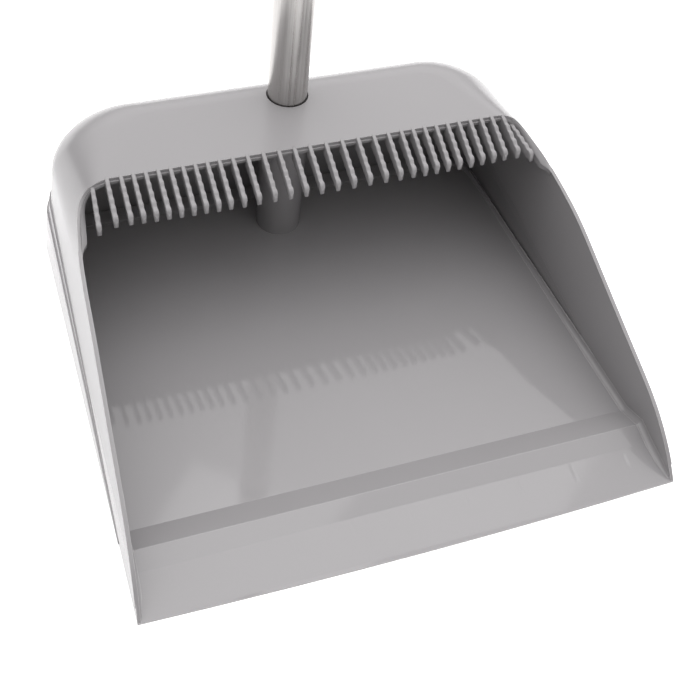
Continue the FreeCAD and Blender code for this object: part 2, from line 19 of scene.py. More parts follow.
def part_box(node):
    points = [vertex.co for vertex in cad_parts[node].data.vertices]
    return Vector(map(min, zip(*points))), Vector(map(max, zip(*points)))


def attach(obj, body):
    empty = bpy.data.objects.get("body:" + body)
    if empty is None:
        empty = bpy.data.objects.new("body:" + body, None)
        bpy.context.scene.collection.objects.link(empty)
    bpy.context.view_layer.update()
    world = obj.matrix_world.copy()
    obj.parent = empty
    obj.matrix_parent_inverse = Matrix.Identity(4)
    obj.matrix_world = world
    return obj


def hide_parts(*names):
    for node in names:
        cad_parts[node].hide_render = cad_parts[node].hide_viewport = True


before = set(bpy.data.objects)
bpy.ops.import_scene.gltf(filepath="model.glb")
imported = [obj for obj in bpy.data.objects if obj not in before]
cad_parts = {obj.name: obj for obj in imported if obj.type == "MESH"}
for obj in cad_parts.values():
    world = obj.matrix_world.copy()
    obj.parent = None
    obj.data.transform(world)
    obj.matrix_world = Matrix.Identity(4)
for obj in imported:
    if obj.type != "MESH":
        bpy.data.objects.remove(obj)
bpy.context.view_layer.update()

LOG = logging.getLogger("dustpan")
MM = 0.001
QUARTER = math.pi / 2.0

Pair = tuple[float, float]
Point = tuple[float, float, float]
Colour = tuple[float, float, float, float]
Socket = bpy.types.NodeSocket


class Body(Enum):
    """The moving bodies that a piece can ride on."""

    PAN = "pan"
    POLE = "pole"
    LOWER_BUTTON = "lower_button"
    UPPER_BUTTON = "upper_button"
    CLIP = "clip"
    LOOP = "loop"


class Slot(Enum):
    """The record's material slots of the pieces made here."""

    PAN = "pan_plastic"
    COMB = "comb_plastic"
    GRIP = "grip_rubber"
    BRIGHT = "bright_steel"


# ---- node helpers ---------------------------------------------------------
class NodeBench:
    """Lays out the nodes of one tree."""

    def __init__(self, tree: bpy.types.NodeTree) -> None:
        """Take the tree to lay nodes in."""
        self.tree = tree

    def feed(self, socket: Socket, value: object) -> None:
        """Link an input, or set it.

        Args:
            socket: The input.
            value: A socket to link from, or a plain value.
        """
        if isinstance(value, Socket):
            self.tree.links.new(value, socket)
        else:
            socket.default_value = value

    def add(self, kind: str, **values: object) -> bpy.types.Node:
        """Add a node and set or link its inputs.

        Args:
            kind: The node's type.
            **values: Node properties, or input names with underscores for spaces.

        Returns:
            The new node.
        """
        made = self.tree.nodes.new(kind)
        inputs = {}
        for key, value in values.items():
            if hasattr(made, key):
                setattr(made, key, value)
            else:
                inputs[key.replace("_", " ")] = value
        for name, value in inputs.items():
            self.feed(next(s for s in made.inputs if s.name == name and s.enabled), value)
        return made

    def math(self, kind: str, first: object, second: object) -> Socket:
        """Join two values by arithmetic.

        Args:
            kind: Operation, such as "ADD".
            first: Socket or number.
            second: Socket or number.

        Returns:
            The result.
        """
        made = self.add("ShaderNodeMath", operation=kind)
        self.feed(made.inputs[0], first)
        self.feed(made.inputs[1], second)
        return made.outputs["Value"]


class ShaderBench(NodeBench):
    """Lays out the nodes of one material."""

    def __init__(self, name: str) -> None:
        """Start an empty material with its output.

        Args:
            name: Name of the material.
        """
        self.material = bpy.data.materials.new(name)
        self.material.use_nodes = True
        super().__init__(self.material.node_tree)
        self.tree.nodes.clear()
        self.output = self.add("ShaderNodeOutputMaterial")
        self.coordinates = self.add("ShaderNodeTexCoord").outputs["Object"]

    def axis(self, name: str) -> Socket:
        """One of the object's own coordinates: X, Y or Z."""
        return self.add("ShaderNodeSeparateXYZ", Vector=self.coordinates).outputs[name]

    def noise(self, scale: float, detail: float = 2.0, along: Point = (1.0, 1.0, 1.0),
              roughness: float = 0.5) -> Socket:
        """Fractal noise on the object's own coordinates.

        Args:
            scale: Cycles per metre before stretching.
            detail: Octaves of finer noise.
            along: Stretch on each axis.
            roughness: How strong the finer octaves are.

        Returns:
            The noise factor from 0 to 1.
        """
        vector = self.coordinates
        if along != (1.0, 1.0, 1.0):
            vector = self.add("ShaderNodeMapping", Vector=vector, Scale=along).outputs["Vector"]
        made = self.add("ShaderNodeTexNoise", Vector=vector, Scale=scale, Detail=detail,
                        Roughness=roughness)
        return made.outputs[0]

    def spread(self, value: Socket, low: float, high: float, start: float = 0.3,
               stop: float = 0.7) -> Socket:
        """Map a value from start..stop onto low..high, clamped."""
        made = self.add("ShaderNodeMapRange", Value=value, From_Min=start, From_Max=stop,
                        To_Min=low, To_Max=high)
        return made.outputs["Result"]

    def mix(self, factor: Socket, low: object, high: object) -> Socket:
        """Blend two colours.

        Args:
            factor: Blend from 0 to 1.
            low: Colour at 0, a socket or a value.
            high: Colour at 1, a socket or a value.

        Returns:
            The blended colour.
        """
        made = self.add("ShaderNodeMix", data_type="RGBA")
        for index, value in ((0, factor), (6, low), (7, high)):
            self.feed(made.inputs[index], value)
        return made.outputs[2]

    def bump(self, height: Socket, distance: float, strength: float, normal: Socket) -> Socket:
        """Relief on a normal: its height from 0 to 1, its depth in metres and its weight."""
        made = self.add("ShaderNodeBump", Height=height, Distance=distance, Strength=strength,
                        Normal=normal)
        return made.outputs["Normal"]

    def soft_edges(self, radius: float) -> Socket:
        """Normal that rounds hard edges by a radius in metres."""
        return self.add("ShaderNodeBevel", samples=4, Radius=radius).outputs["Normal"]

    def edge_mask(self, rounded: Socket) -> Socket:
        """Mask of the sharp edges.

        Args:
            rounded: Normal with its edges rounded.

        Returns:
            1 on a square edge, 0 on a flat face.
        """
        dot = self.add("ShaderNodeVectorMath", operation="DOT_PRODUCT")
        self.feed(dot.inputs[0], rounded)
        self.feed(dot.inputs[1], self.add("ShaderNodeNewGeometry").outputs["Normal"])
        return self.spread(dot.outputs["Value"], 1.0, 0.0, 0.82, 0.975)

    def finish(self, **values: object) -> bpy.types.Material:
        """Shade the surface and end the tree.

        Args:
            **values: Inputs of the surface shader.

        Returns:
            The finished material.
        """
        shader = self.add("ShaderNodeBsdfPrincipled", **values)
        self.feed(self.output.inputs["Surface"], shader.outputs["BSDF"])
        return self.material


def tone(grey: float, warmth: float = 0.0) -> Colour:
    """Linear grey, with a little red added and blue taken for warmth."""
    return (grey * (1.0 + warmth), grey, grey * (1.0 - warmth), 1.0)


def scaled(colour: Colour, factor: float) -> Colour:
    """The same hue, lighter or darker."""
    return (colour[0] * factor, colour[1] * factor, colour[2] * factor, 1.0)


# ---- finishes -------------------------------------------------------------
@dataclass(frozen=True)
class MouldedPlastic:
    """Polypropylene from a polished mould: gloss, faint flow shade, scuffs and a painted highlight
    that lightens the edges.
    """

    name: str
    colour: Colour
    shade: float = 0.025
    roughness: float = 0.2
    polish: float = 0.2
    polish_height: float = 12.0 * MM
    edge_radius: float = 0.5 * MM
    # Painted highlight along the edges: its strength, and how much lighter the colour is painted
    # there.
    edge_highlight: float = 0.0
    edge_gain: float = 2.6
    flow_scale: float = 7.0
    grain_scale: float = 900.0
    scuff_scale: float = 60.0
    haze_scale: float = 11.0
    wave_scale: float = 14.0
    wave_height: float = 0.4 * MM
    peel_scale: float = 420.0
    peel_height: float = 0.01 * MM
    sink_pitch: float = 0.0
    sink_zone: Pair = (0.0, 0.0)
    sink_half: float = 1.6 * MM
    sink_depth: float = 0.06 * MM

    def sink_marks(self, bench: ShaderBench) -> Socket:
        """Faint hollows over the ribs under the lip.

        Args:
            bench: The material being laid out.

        Returns:
            Depth of the hollows, 1 over a rib and 0 between.
        """
        start, stop = self.sink_zone
        beat = bench.math("PINGPONG", bench.axis("X"), self.sink_pitch / 2.0)
        line = bench.spread(beat, 1.0, 0.0, 0.0, self.sink_half)
        front = bench.spread(bench.axis("Y"), 0.0, 1.0, start, start + 4.0 * MM)
        rear = bench.spread(bench.axis("Y"), 1.0, 0.0, stop - 3.0 * MM, stop)
        return bench.math("MULTIPLY", bench.math("MULTIPLY", front, rear), line)

    def make(self) -> bpy.types.Material:
        """Build the material.

        Returns:
            The finished material.
        """
        bench = ShaderBench(self.name)
        flow = bench.noise(self.flow_scale, 3.0, (1.0, 0.55, 1.0))
        grain = bench.noise(self.grain_scale)
        cast = bench.math("ADD", bench.spread(flow, 0.0, 0.8), bench.spread(grain, 0.0, 0.2))
        base = bench.mix(cast, scaled(self.colour, 1.0 - self.shade),
                         scaled(self.colour, 1.0 + self.shade))
        scuff = bench.noise(self.scuff_scale, 4.0, (14.0, 1.0, 3.0), 0.7)
        haze = bench.noise(self.haze_scale, 3.0)
        wear = bench.math("ADD", bench.spread(haze, -0.01, 0.02),
                          bench.spread(scuff, 0.0, 0.02, 0.5, 0.9))
        gloss = bench.spread(bench.axis("Z"), self.polish, self.roughness,
                             self.polish_height, 2.0 * self.polish_height)
        normal = bench.soft_edges(self.edge_radius)
        # Painted highlight: the base colour is lightened along the rounded edges, standing in for
        # the sheen they catch.
        if self.edge_highlight:
            painted_edge_highlight = bench.math("MULTIPLY", bench.edge_mask(normal), self.edge_highlight)
            base = bench.mix(painted_edge_highlight, base, scaled(self.colour, self.edge_gain))
        if self.sink_pitch:
            normal = bench.bump(self.sink_marks(bench), -self.sink_depth, 1.0, normal)
        normal = bench.bump(bench.noise(self.wave_scale, 1.0), self.wave_height, 0.3, normal)
        normal = bench.bump(bench.noise(self.peel_scale), self.peel_height, 0.4, normal)
        return bench.finish(Base_Color=base, Roughness=bench.math("ADD", gloss, wear),
                            Normal=normal, IOR=1.5)


@dataclass(frozen=True)
class DrawnSteel:
    """Stainless steel drawn along the pole: fine lengthwise lines under a soft gloss."""

    name: str
    grey: float = 0.55
    roughness: float = 0.3
    line_scale: float = 900.0
    lines: Point = (1.0, 1.0, 0.004)
    anisotropy: float = 0.4
    cloud_scale: float = 26.0
    line_depth: float = 0.03 * MM
    edge_radius: float = 0.3 * MM

    def make(self) -> bpy.types.Material:
        """Build the material.

        Returns:
            The finished material.
        """
        bench = ShaderBench(self.name)
        streak = bench.noise(self.line_scale, 3.0, self.lines, 0.6)
        cloud = bench.noise(self.cloud_scale, 3.0, (1.0, 1.0, 0.3))
        base = bench.mix(bench.spread(streak, 0.0, 1.0), tone(self.grey * 0.76, 0.03),
                         tone(self.grey * 1.08, 0.02))
        lined = bench.spread(streak, self.roughness - 0.06, self.roughness + 0.08)
        rough = bench.math("ADD", lined, bench.spread(cloud, -0.03, 0.04))
        normal = bench.bump(streak, self.line_depth, 0.6, bench.soft_edges(self.edge_radius))
        return bench.finish(Base_Color=base, Roughness=rough, Normal=normal, Metallic=1.0,
                            Anisotropic=self.anisotropy)


@dataclass(frozen=True)
class SoftRubber:
    """Matt thermoplastic rubber with a fine spark-eroded grain."""

    name: str
    grey: float = 0.035
    roughness: float = 0.62
    dust_scale: float = 40.0
    grain_scale: float = 1500.0
    grain_depth: float = 0.08 * MM
    edge_radius: float = 0.4 * MM

    def make(self) -> bpy.types.Material:
        """Build the material.

        Returns:
            The finished material.
        """
        bench = ShaderBench(self.name)
        dust = bench.noise(self.dust_scale, 4.0)
        grain = bench.noise(self.grain_scale)
        base = bench.mix(bench.spread(dust, 0.0, 1.0), tone(self.grey * 0.85, 0.01),
                         tone(self.grey * 1.25, 0.01))
        rough = bench.spread(grain, self.roughness - 0.08, self.roughness + 0.1)
        normal = bench.bump(grain, self.grain_depth, 0.7, bench.soft_edges(self.edge_radius))
        return bench.finish(Base_Color=base, Roughness=rough, Normal=normal)


@dataclass(frozen=True)
class StudioPaper:
    """Matt white sweep, lit from beneath as well."""

    name: str
    grey: float = 0.86
    glow: float = 0.6
    fibre_scale: float = 9.0

    def make(self) -> bpy.types.Material:
        """Build the material.

        Returns:
            The finished material.
        """
        bench = ShaderBench(self.name)
        fibre = bench.noise(self.fibre_scale, 4.0)
        base = bench.mix(bench.spread(fibre, 0.0, 1.0), tone(self.grey * 0.99), tone(self.grey))
        return bench.finish(Base_Color=base, Roughness=0.9, Emission_Color=tone(1.0),
                            Emission_Strength=self.glow)


class Finishes:
    """Every finish of the object, made once."""

    def __init__(self) -> None:
        """Make the materials."""
        grey = (0.302, 0.294, 0.299, 1.0)
        # The pan's edges carry a painted highlight, a lighter colour along them.
        self.pan = MouldedPlastic("pan_grey", grey, roughness=0.23, polish=0.06, edge_highlight=0.8,
                                  sink_pitch=31.0 * MM, sink_zone=(-0.123, -0.1115)).make()
        self.comb = MouldedPlastic("comb_grey", grey, roughness=0.25, polish=0.25,
                                   edge_radius=0.3 * MM).make()
        self.fitting = MouldedPlastic("fitting_grey", (0.12, 0.12, 0.122, 1.0), roughness=0.34,
                                      polish=0.34).make()
        self.clip = MouldedPlastic("clip_grey", (0.2, 0.195, 0.198, 1.0), roughness=0.3,
                                   polish=0.3).make()
        self.rubber = SoftRubber("grip_black").make()
        self.pole = DrawnSteel("pole_drawn").make()
        self.bright = DrawnSteel("polished_button", 0.68, 0.16, 300.0, (1.0, 1.0, 1.0), 0.0).make()
        self.spring = DrawnSteel("blued_spring", 0.38, 0.28, 500.0, (1.0, 1.0, 0.05), 0.2).make()
        self.paper = StudioPaper("studio_paper").make()


# ---- geometry nodes -------------------------------------------------------
class ShapeBench(NodeBench):
    """Lays out one Geometry Nodes tree with named inputs and runs it."""

    def __init__(self, name: str) -> None:
        """Start a tree with a geometry input and output.

        Args:
            name: Name of the tree.
        """
        super().__init__(bpy.data.node_groups.new(name, "GeometryNodeTree"))
        self.tree.interface.new_socket("Geometry", in_out="OUTPUT",
                                       socket_type="NodeSocketGeometry")
        self.values: dict[str, object] = {}
        self.socket("Geometry", "NodeSocketGeometry", None)
        self.output = self.add("NodeGroupOutput")

    def socket(self, name: str, kind: str, value: object) -> None:
        """Declare a named input.

        Args:
            name: The input's name.
            kind: The socket's type.
            value: What the modifier gives it, or None for the geometry.
        """
        self.tree.interface.new_socket(name, in_out="INPUT", socket_type=kind)
        if value is not None:
            self.values[name] = value

    def given(self, name: str) -> Socket:
        """The group's input of that name, to link from."""
        return self.add("NodeGroupInput").outputs[name]

    def close(self, geometry: Socket, finish: bpy.types.Material) -> None:
        """End the tree: realize, shade smooth and set the finish.

        Args:
            geometry: The finished shape.
            finish: Its material.
        """
        real = self.add("GeometryNodeRealizeInstances", Geometry=geometry)
        shaded = self.add("GeometryNodeSetShadeSmooth", Geometry=real.outputs[0],
                          Shade_Smooth=True)
        dressed = self.add("GeometryNodeSetMaterial", Geometry=shaded.outputs[0], Material=finish)
        self.feed(self.output.inputs["Geometry"], dressed.outputs[0])

    def run(self, name: str, base: bpy.types.Mesh) -> bpy.types.Object:
        """Evaluate the tree on a mesh and keep the result as a plain mesh.

        Args:
            name: Name of the finished piece.
            base: Mesh that the tree starts from.

        Returns:
            The finished object, with no modifier.
        """
        carrier = place(name, base)
        modifier = carrier.modifiers.new(self.tree.name, "NODES")
        modifier.node_group = self.tree
        for item in self.tree.interface.items_tree:
            if getattr(item, "in_out", "") == "INPUT" and item.name in self.values:
                modifier[item.identifier] = self.values[item.name]
        bpy.context.view_layer.update()
        depsgraph = bpy.context.evaluated_depsgraph_get()
        result = bpy.data.meshes.new_from_object(carrier.evaluated_get(depsgraph))
        carrier.modifiers.clear()
        carrier.data = result
        result.name = name
        return carrier


# ---- mesh helpers ---------------------------------------------------------
def place(name: str, data: bpy.types.ID) -> bpy.types.Object:
    """Add an object to the scene.

    Args:
        name: Name of the object.
        data: Its mesh, light or camera.

    Returns:
        The object.
    """
    made = bpy.data.objects.new(name, data)
    bpy.context.scene.collection.objects.link(made)
    return made


def arc(middle: Pair, radius: float, start: float, steps: int) -> list[Pair]:
    """Points of a quarter circle, from a start given in quarter turns."""
    turns = [QUARTER * (start + step / steps) for step in range(steps + 1)]
    return [(middle[0] + radius * math.cos(turn), middle[1] + radius * math.sin(turn))
            for turn in turns]


def loft(rings: Sequence[Sequence[Point]]) -> bpy.types.Mesh:
    """Skin over a row of rings of equal count, closed at both ends.

    Args:
        rings: Points of each ring, in order.

    Returns:
        The mesh, with its faces outwards.
    """
    shape = bmesh.new()
    rows = [[shape.verts.new(point) for point in ring] for ring in rings]
    count = len(rows[0])
    for low, high in zip(rows, rows[1:]):
        for index in range(count):
            after = (index + 1) % count
            shape.faces.new((low[index], low[after], high[after], high[index]))
    shape.faces.new(rows[0][::-1])
    shape.faces.new(rows[-1])
    bmesh.ops.recalc_face_normals(shape, faces=shape.faces)
    mesh = bpy.data.meshes.new("loft")
    shape.to_mesh(mesh)
    shape.free()
    return mesh


def sweep(name: str, rings: list[list[Point]], finish: bpy.types.Material,
          crease: float) -> bpy.types.Object:
    """Sweep a piece that is the same on both sides, smooth between its creases.

    Args:
        name: Name of the piece.
        rings: Rings of the right half, the last one next to the middle.
        finish: Its material.
        crease: Angle in degrees that keeps an edge sharp.

    Returns:
        The piece.
    """
    left = [[(-x, y, z) for x, y, z in ring] for ring in rings]
    mesh = loft(left + rings[::-1])
    mesh.materials.append(finish)
    mesh.shade_smooth()
    mesh.set_sharp_from_angle(angle=math.radians(crease))
    return place(name, mesh)


def point_row(places: Sequence[Point], **attributes: Sequence[object]) -> bpy.types.Mesh:
    """Loose points that instances stand on.

    Args:
        places: Where they stand.
        **attributes: One value for each point, floats or vectors.

    Returns:
        The mesh of points.
    """
    mesh = bpy.data.meshes.new("places")
    mesh.from_pydata(places, [], [])
    for name, values in attributes.items():
        is_vector = hasattr(values[0], "__len__")
        made = mesh.attributes.new(name, "FLOAT_VECTOR" if is_vector else "FLOAT", "POINT")
        for item, value in zip(made.data, values):
            setattr(item, "vector" if is_vector else "value", value)
    return mesh


def closed_line(points: Sequence[Pair]) -> bpy.types.Mesh:
    """Closed outline in the XY plane as edges only.

    Args:
        points: The outline's corners in order.

    Returns:
        The mesh of edges.
    """
    mesh = bpy.data.meshes.new("outline")
    count = len(points)
    mesh.from_pydata([(x, y, 0.0) for x, y in points],
                     [(index, (index + 1) % count) for index in range(count)], [])
    return mesh


def report(piece: bpy.types.Object, body: Body) -> None:
    """Log a finished piece."""
    LOG.info("%s on %s: %d faces", piece.name, body.value, len(piece.data.polygons))


def settle(piece: bpy.types.Object, body: Body, slot: Slot, *stands_for: str) -> bpy.types.Object:
    """Tie a made piece to its body and hide the nodes that it stands for.

    Args:
        piece: The finished piece.
        body: The body that it rides on.
        slot: The material slot of the record; not used.
        *stands_for: CAD nodes that it replaces.

    Returns:
        The same piece.
    """
    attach(piece, body.value)
    if stands_for:
        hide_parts(*stands_for)
    report(piece, body)
    return piece


def dress(node: str, finish: bpy.types.Material, body: Body) -> None:
    """Give a CAD node its finish.

    Args:
        node: The node's name.
        finish: Its material.
        body: The body that it belongs to.
    """
    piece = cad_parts[node]
    piece.data.materials.clear()
    piece.data.materials.append(finish)
    report(piece, body)


# ---- pan ------------------------------------------------------------------
@dataclass
class HoodEdge:
    """The hood's front edge and the pan's walls, by the moulding's own rules."""

    depth: float = 194.0 * MM
    height: float = 100.5 * MM
    half_width: float = 145.0 * MM
    taper: float = 0.036
    lean: float = 0.068
    shoulder: float = 32.0 * MM
    mouth_draw: float = 23.0 * MM
    rear_draw: float = 38.0 * MM
    rear_depth: float = 232.0 * MM
    upright: float = 5.0 * MM
    bend_before: Pair = (0.7835, 0.791)
    bend_start: Pair = (0.8763, 0.8408)
    bend_arrive: Pair = (0.35, 1.0)

    def plain_half(self, depth: float, height: float, inset: float) -> float:
        """Half width of the leaning walls, or of a face inset from them."""
        return self.half_width - self.taper * depth - self.lean * height - inset

    def section(self, depth: float, turn: float, inset: float) -> Pair:
        """A point of the rounded shoulder.

        Args:
            depth: Distance from the lip's corners.
            turn: Angle up the shoulder, 0 where it springs, a quarter turn on the flat top.
            inset: Distance inside the outer face.

        Returns:
            Half width and height there.
        """
        height = self.height - self.shoulder + (self.shoulder - inset) * math.sin(turn)
        share = (depth - self.depth) / (self.rear_depth - self.depth)
        draw_in = self.mouth_draw + (self.rear_draw - self.mouth_draw) * share - inset
        return self.plain_half(depth, height, inset) - draw_in * (1.0 - math.cos(turn)), height

    def turn_at(self, height: float, inset: float) -> float:
        """Angle up the shoulder at a height, from 0 to a quarter turn."""
        rise = (height - self.height + self.shoulder) / (self.shoulder - inset)
        return math.asin(max(0.0, min(1.0, rise)))

    def top_at(self, x: float) -> float:
        """Height of the outer face over the hood's edge.

        Args:
            x: Distance from the middle, either way.

        Returns:
            The height.
        """
        over = abs(x) - self.plain_half(self.depth, self.height, self.mouth_draw)
        share = max(over, 0.0) / self.mouth_draw
        return self.height - self.shoulder * (1.0 - math.sqrt(1.0 - share ** 2))

    def bend(self, share: float) -> Vector:
        """The rim's bend up into the hood's upright face.

        Args:
            share: 0 where the side rim ends, 1 at the foot of the upright face.

        Returns:
            Depth and height.
        """
        scale = Vector((self.depth, self.height))
        start = Vector(self.bend_start) * scale
        before = Vector(self.bend_before) * scale
        foot = Vector((self.depth, self.height - self.upright))
        chord = (foot - start).length
        leave = (start - before).normalized() * chord
        arrive = Vector(self.bend_arrive) * chord
        t, u = share, 1.0 - share
        return (start * (1.0 + 2.0 * t) * u * u + leave * t * u * u
                + foot * t * t * (3.0 - 2.0 * t) - arrive * t * t * u)


@dataclass
class Comb:
    """Strip behind the hood's edge, with a row of scalloped fins hooked over it."""

    edge: HoodEdge
    lip_y: float
    thickness: float = 2.6 * MM
    root_width: float = 0.84
    width_gain: float = 0.2
    scallop_width: float = 0.1
    corner: float = 0.42
    reach: float = 24.0 * MM
    drop: float = 8.7 * MM
    end_loss: float = 0.1
    left_yaw: float = 6.0
    right_yaw: float = 12.0
    end_lift: float = 9.0
    length_spread: float = 0.012
    hook: float = 3.4 * MM
    hook_sink: float = 0.4 * MM
    hook_rings: tuple[Point, ...] = ((1.0, 0.2, 0.06), (0.7, 0.5, 0.3), (0.35, 0.8, 0.55))
    crest_rise: float = 0.7 * MM
    root_depth: float = 7.6 * MM
    tip_depth: float = 5.2 * MM
    scallops: int = 5
    scallop_height: float = 0.8 * MM
    tip_start: float = 0.95
    tip_span: float = 0.0505
    stations: int = 36
    fin_crease: float = 50.0
    wall: float = 1.75 * MM
    strip_wall: float = 3.3 * MM
    strip_reach: float = 3.4 * MM
    strip_proud: float = 1.0 * MM
    strip_end_proud: float = 2.6 * MM
    strip_start: float = 161.5 * MM
    strip_drop: float = 2.7 * MM
    strip_corner: float = 0.8 * MM
    strip_crease: float = 40.0
    pitches: tuple[float, ...] = (8.9, 8.9, 8.9, 8.9, 8.2, 7.5) + (6.7,) * 8 + (7.8, 8.9)
    left_share: float = 0.970
    right_share: float = 1.024
    offset: float = -1.9 * MM
    seed: int = 7

    def places(self) -> list[float]:
        """Space the fins' tips: wide apart at the middle and the ends.

        Returns:
            The distance of each tip from the middle, from left to right.
        """
        made = [self.offset]
        for side, share in ((-1.0, self.left_share), (1.0, self.right_share)):
            for count in range(1, len(self.pitches) + 1):
                made.append(self.offset + side * share * MM * sum(self.pitches[:count]))
        return sorted(made)

    def fin_ring(self, share: float) -> list[Point]:
        """Cross section of a fin: flat flanks, a rounded crest and a narrower keel.

        Args:
            share: Place along the fin from the hood's edge, 0, to its tip, 1.

        Returns:
            The ring's points, with the hood's face at height 0 and the tip towards -Y.
        """
        lead = min(1.0, share * 4.0)
        bead = math.sin(math.pi * self.scallops * share) ** 2 * lead
        crest = (self.crest_rise - (self.drop + self.crest_rise) * share
                 + self.scallop_height * (bead - 0.5))
        depth = self.root_depth + (self.tip_depth - self.root_depth) * min(1.0, share * 1.1)
        half = self.thickness / 2.0 * (self.root_width + self.width_gain * share
                                       + self.scallop_width * (bead - 0.4) * lead)
        close = 1.0
        if share > self.tip_start:
            close = (1.0 - ((share - self.tip_start) / self.tip_span) ** 2.6) ** 0.4
        corner = self.corner * half
        y = -self.reach * share
        low = crest - depth
        outline = [(-0.8 * half, low), (0.8 * half, low), (0.9 * half, low + corner)]
        outline += arc((half - corner, crest - corner), corner, 0.0, 4)
        outline += arc((corner - half, crest - corner), corner, 1.0, 4)
        outline.append((-0.9 * half, low + corner))
        middle = crest - depth * 0.45
        return [(x * close, y, middle + (z - middle) * close) for x, z in outline]

    def fin(self) -> bpy.types.Mesh:
        """Loft one fin: a thin hook that lies on the hood, then the scalloped blade.

        Returns:
            The fin's mesh.
        """
        root = self.fin_ring(0.0)
        rings = [[(x * narrow, self.hook * share, max(-self.hook_sink, z + (height - 0.7) * MM))
                  for x, _, z in root] for share, narrow, height in self.hook_rings]
        rings.append([(x, 0.2 * MM, max(z, -self.hook_sink)) for x, _, z in root])
        rings.append([(x, 0.1 * MM, z) for x, _, z in root])
        rings += [self.fin_ring(step / self.stations) for step in range(self.stations + 1)]
        return loft(rings)

    def row(self, finish: bpy.types.Material) -> bpy.types.Object:
        """Stand the fins along the hood's edge, the end ones shorter and fanned out.

        Args:
            finish: The comb's material.

        Returns:
            The row as one mesh.
        """
        tips = self.places()
        row_half = max(tips)
        spots, lengths, turns = [], [], []
        for tip in tips:
            end = (abs(tip) / row_half) ** 14
            length = 1.0 - self.end_loss * (abs(tip) / row_half) ** 4
            yaw = math.radians(self.right_yaw if tip > 0 else -self.left_yaw) * end
            lift = math.radians(self.end_lift) * end if tip > 0 else 0.0
            x = tip - self.reach * length * math.sin(yaw)
            spots.append((x, self.lip_y + self.edge.depth, self.edge.top_at(tip)))
            lengths.append(length)
            turns.append((-lift, 0.0, yaw))
        template = place("fin", self.fin())
        bench = ShapeBench("Comb row")
        bench.socket("Fin", "NodeSocketObject", template)
        bench.socket("Length spread", "NodeSocketFloat", self.length_spread)
        bench.socket("Seed", "NodeSocketInt", self.seed)
        shape = bench.add("GeometryNodeObjectInfo", Object=bench.given("Fin"))
        turn = bench.add("GeometryNodeInputNamedAttribute", data_type="FLOAT_VECTOR", Name="turn")
        length = bench.add("GeometryNodeInputNamedAttribute", data_type="FLOAT", Name="length")
        shorter = bench.math("SUBTRACT", 1.0, bench.given("Length spread"))
        spread = bench.add("FunctionNodeRandomValue", data_type="FLOAT", Min=shorter,
                           Max=1.0, Seed=bench.given("Seed"))
        reach = bench.math("MULTIPLY", length.outputs[0], spread.outputs[1])
        size = bench.add("ShaderNodeCombineXYZ", X=1.0, Y=reach, Z=1.0)
        stood = bench.add("GeometryNodeInstanceOnPoints", Points=bench.given("Geometry"),
                          Instance=shape.outputs["Geometry"], Rotation=turn.outputs[0],
                          Scale=size.outputs[0])
        bench.close(stood.outputs[0], finish)
        row = bench.run("comb_fins", point_row(spots, length=lengths, turn=turns))
        row.data.set_sharp_from_angle(angle=math.radians(self.fin_crease))
        bpy.data.objects.remove(template)
        return row

    def edge_path(self) -> list[tuple[float, float, float, float, float]]:
        """Path of the strip from its end on the side rim to the hood's flat top.

        Returns:
            Depth, turn up the shoulder, the way across the strip and how proud it is.
        """
        rim_end = self.edge.bend(0.0)
        start = Vector((self.strip_start, rim_end.y - self.strip_drop))
        steps = 16
        path = [start.lerp(rim_end, step / 5.0) for step in range(5)]
        path += [self.edge.bend(step / steps) for step in range(steps + 1)]
        samples = []
        for index, here in enumerate(path):
            before, after = path[max(index - 1, 0)], path[min(index + 1, len(path) - 1)]
            along = (after - before).normalized()
            if index == len(path) - 1:
                along = Vector((0.0, 1.0))
            ease = min(1.0, max(0.0, index - 4) / (steps * 0.8))
            proud = self.strip_end_proud + (self.strip_proud - self.strip_end_proud) * ease
            swell = min(1.0, index / 7.0)
            proud *= 0.04 + 0.96 * swell * swell * (3.0 - 2.0 * swell)
            turn = self.edge.turn_at(here.y, self.wall)
            samples.append((here.x, turn, along.y, -along.x, proud))
        first = samples[-1][1]
        for step in range(1, 9):
            turn = first + (QUARTER - first) * step / 8.0
            samples.append((self.edge.depth, turn, 1.0, 0.0, self.strip_proud))
        return samples

    def strip_ring(self, depth: float, turn: float, back: float, down: float,
                   proud: float) -> list[Point]:
        """Cross section of the strip.

        Args:
            depth: Distance of the hood's edge from the lip's corners.
            turn: Angle up the shoulder.
            back: Share of the strip's width that runs back.
            down: Share that runs down.
            proud: How far it stands out of the edge.

        Returns:
            The ring's points.
        """
        inner = self.wall + self.strip_wall * min(1.0, 0.6 * proud / self.strip_proud)
        reach, middle = self.strip_reach, (inner + self.wall) / 2.0
        outline = [(-proud, self.wall), (reach, self.wall), (reach, middle),
                   (reach - self.strip_corner, inner),
                   (self.strip_corner - proud * 0.5, inner),
                   (-proud * 0.7, inner - 0.05 * MM), (-proud, middle)]
        ring = []
        for across, inset in outline:
            at = depth + across * back
            half, height = self.edge.section(at, turn, inset)
            rise = across * down
            ring.append((half - self.edge.lean * rise, self.lip_y + at, height + rise))
        return ring

    def strip(self, finish: bpy.types.Material) -> bpy.types.Object:
        """Sweep the strip along the inside of the hood's edge."""
        rings = [self.strip_ring(*sample) for sample in self.edge_path()]
        return sweep("comb_strip", rings, finish, self.strip_crease)

    def build(self, finish: bpy.types.Material) -> None:
        """Make the comb and tie it to the pan."""
        settle(self.row(finish), Body.PAN, Slot.COMB, "scraper_comb")
        settle(self.strip(finish), Body.PAN, Slot.COMB)


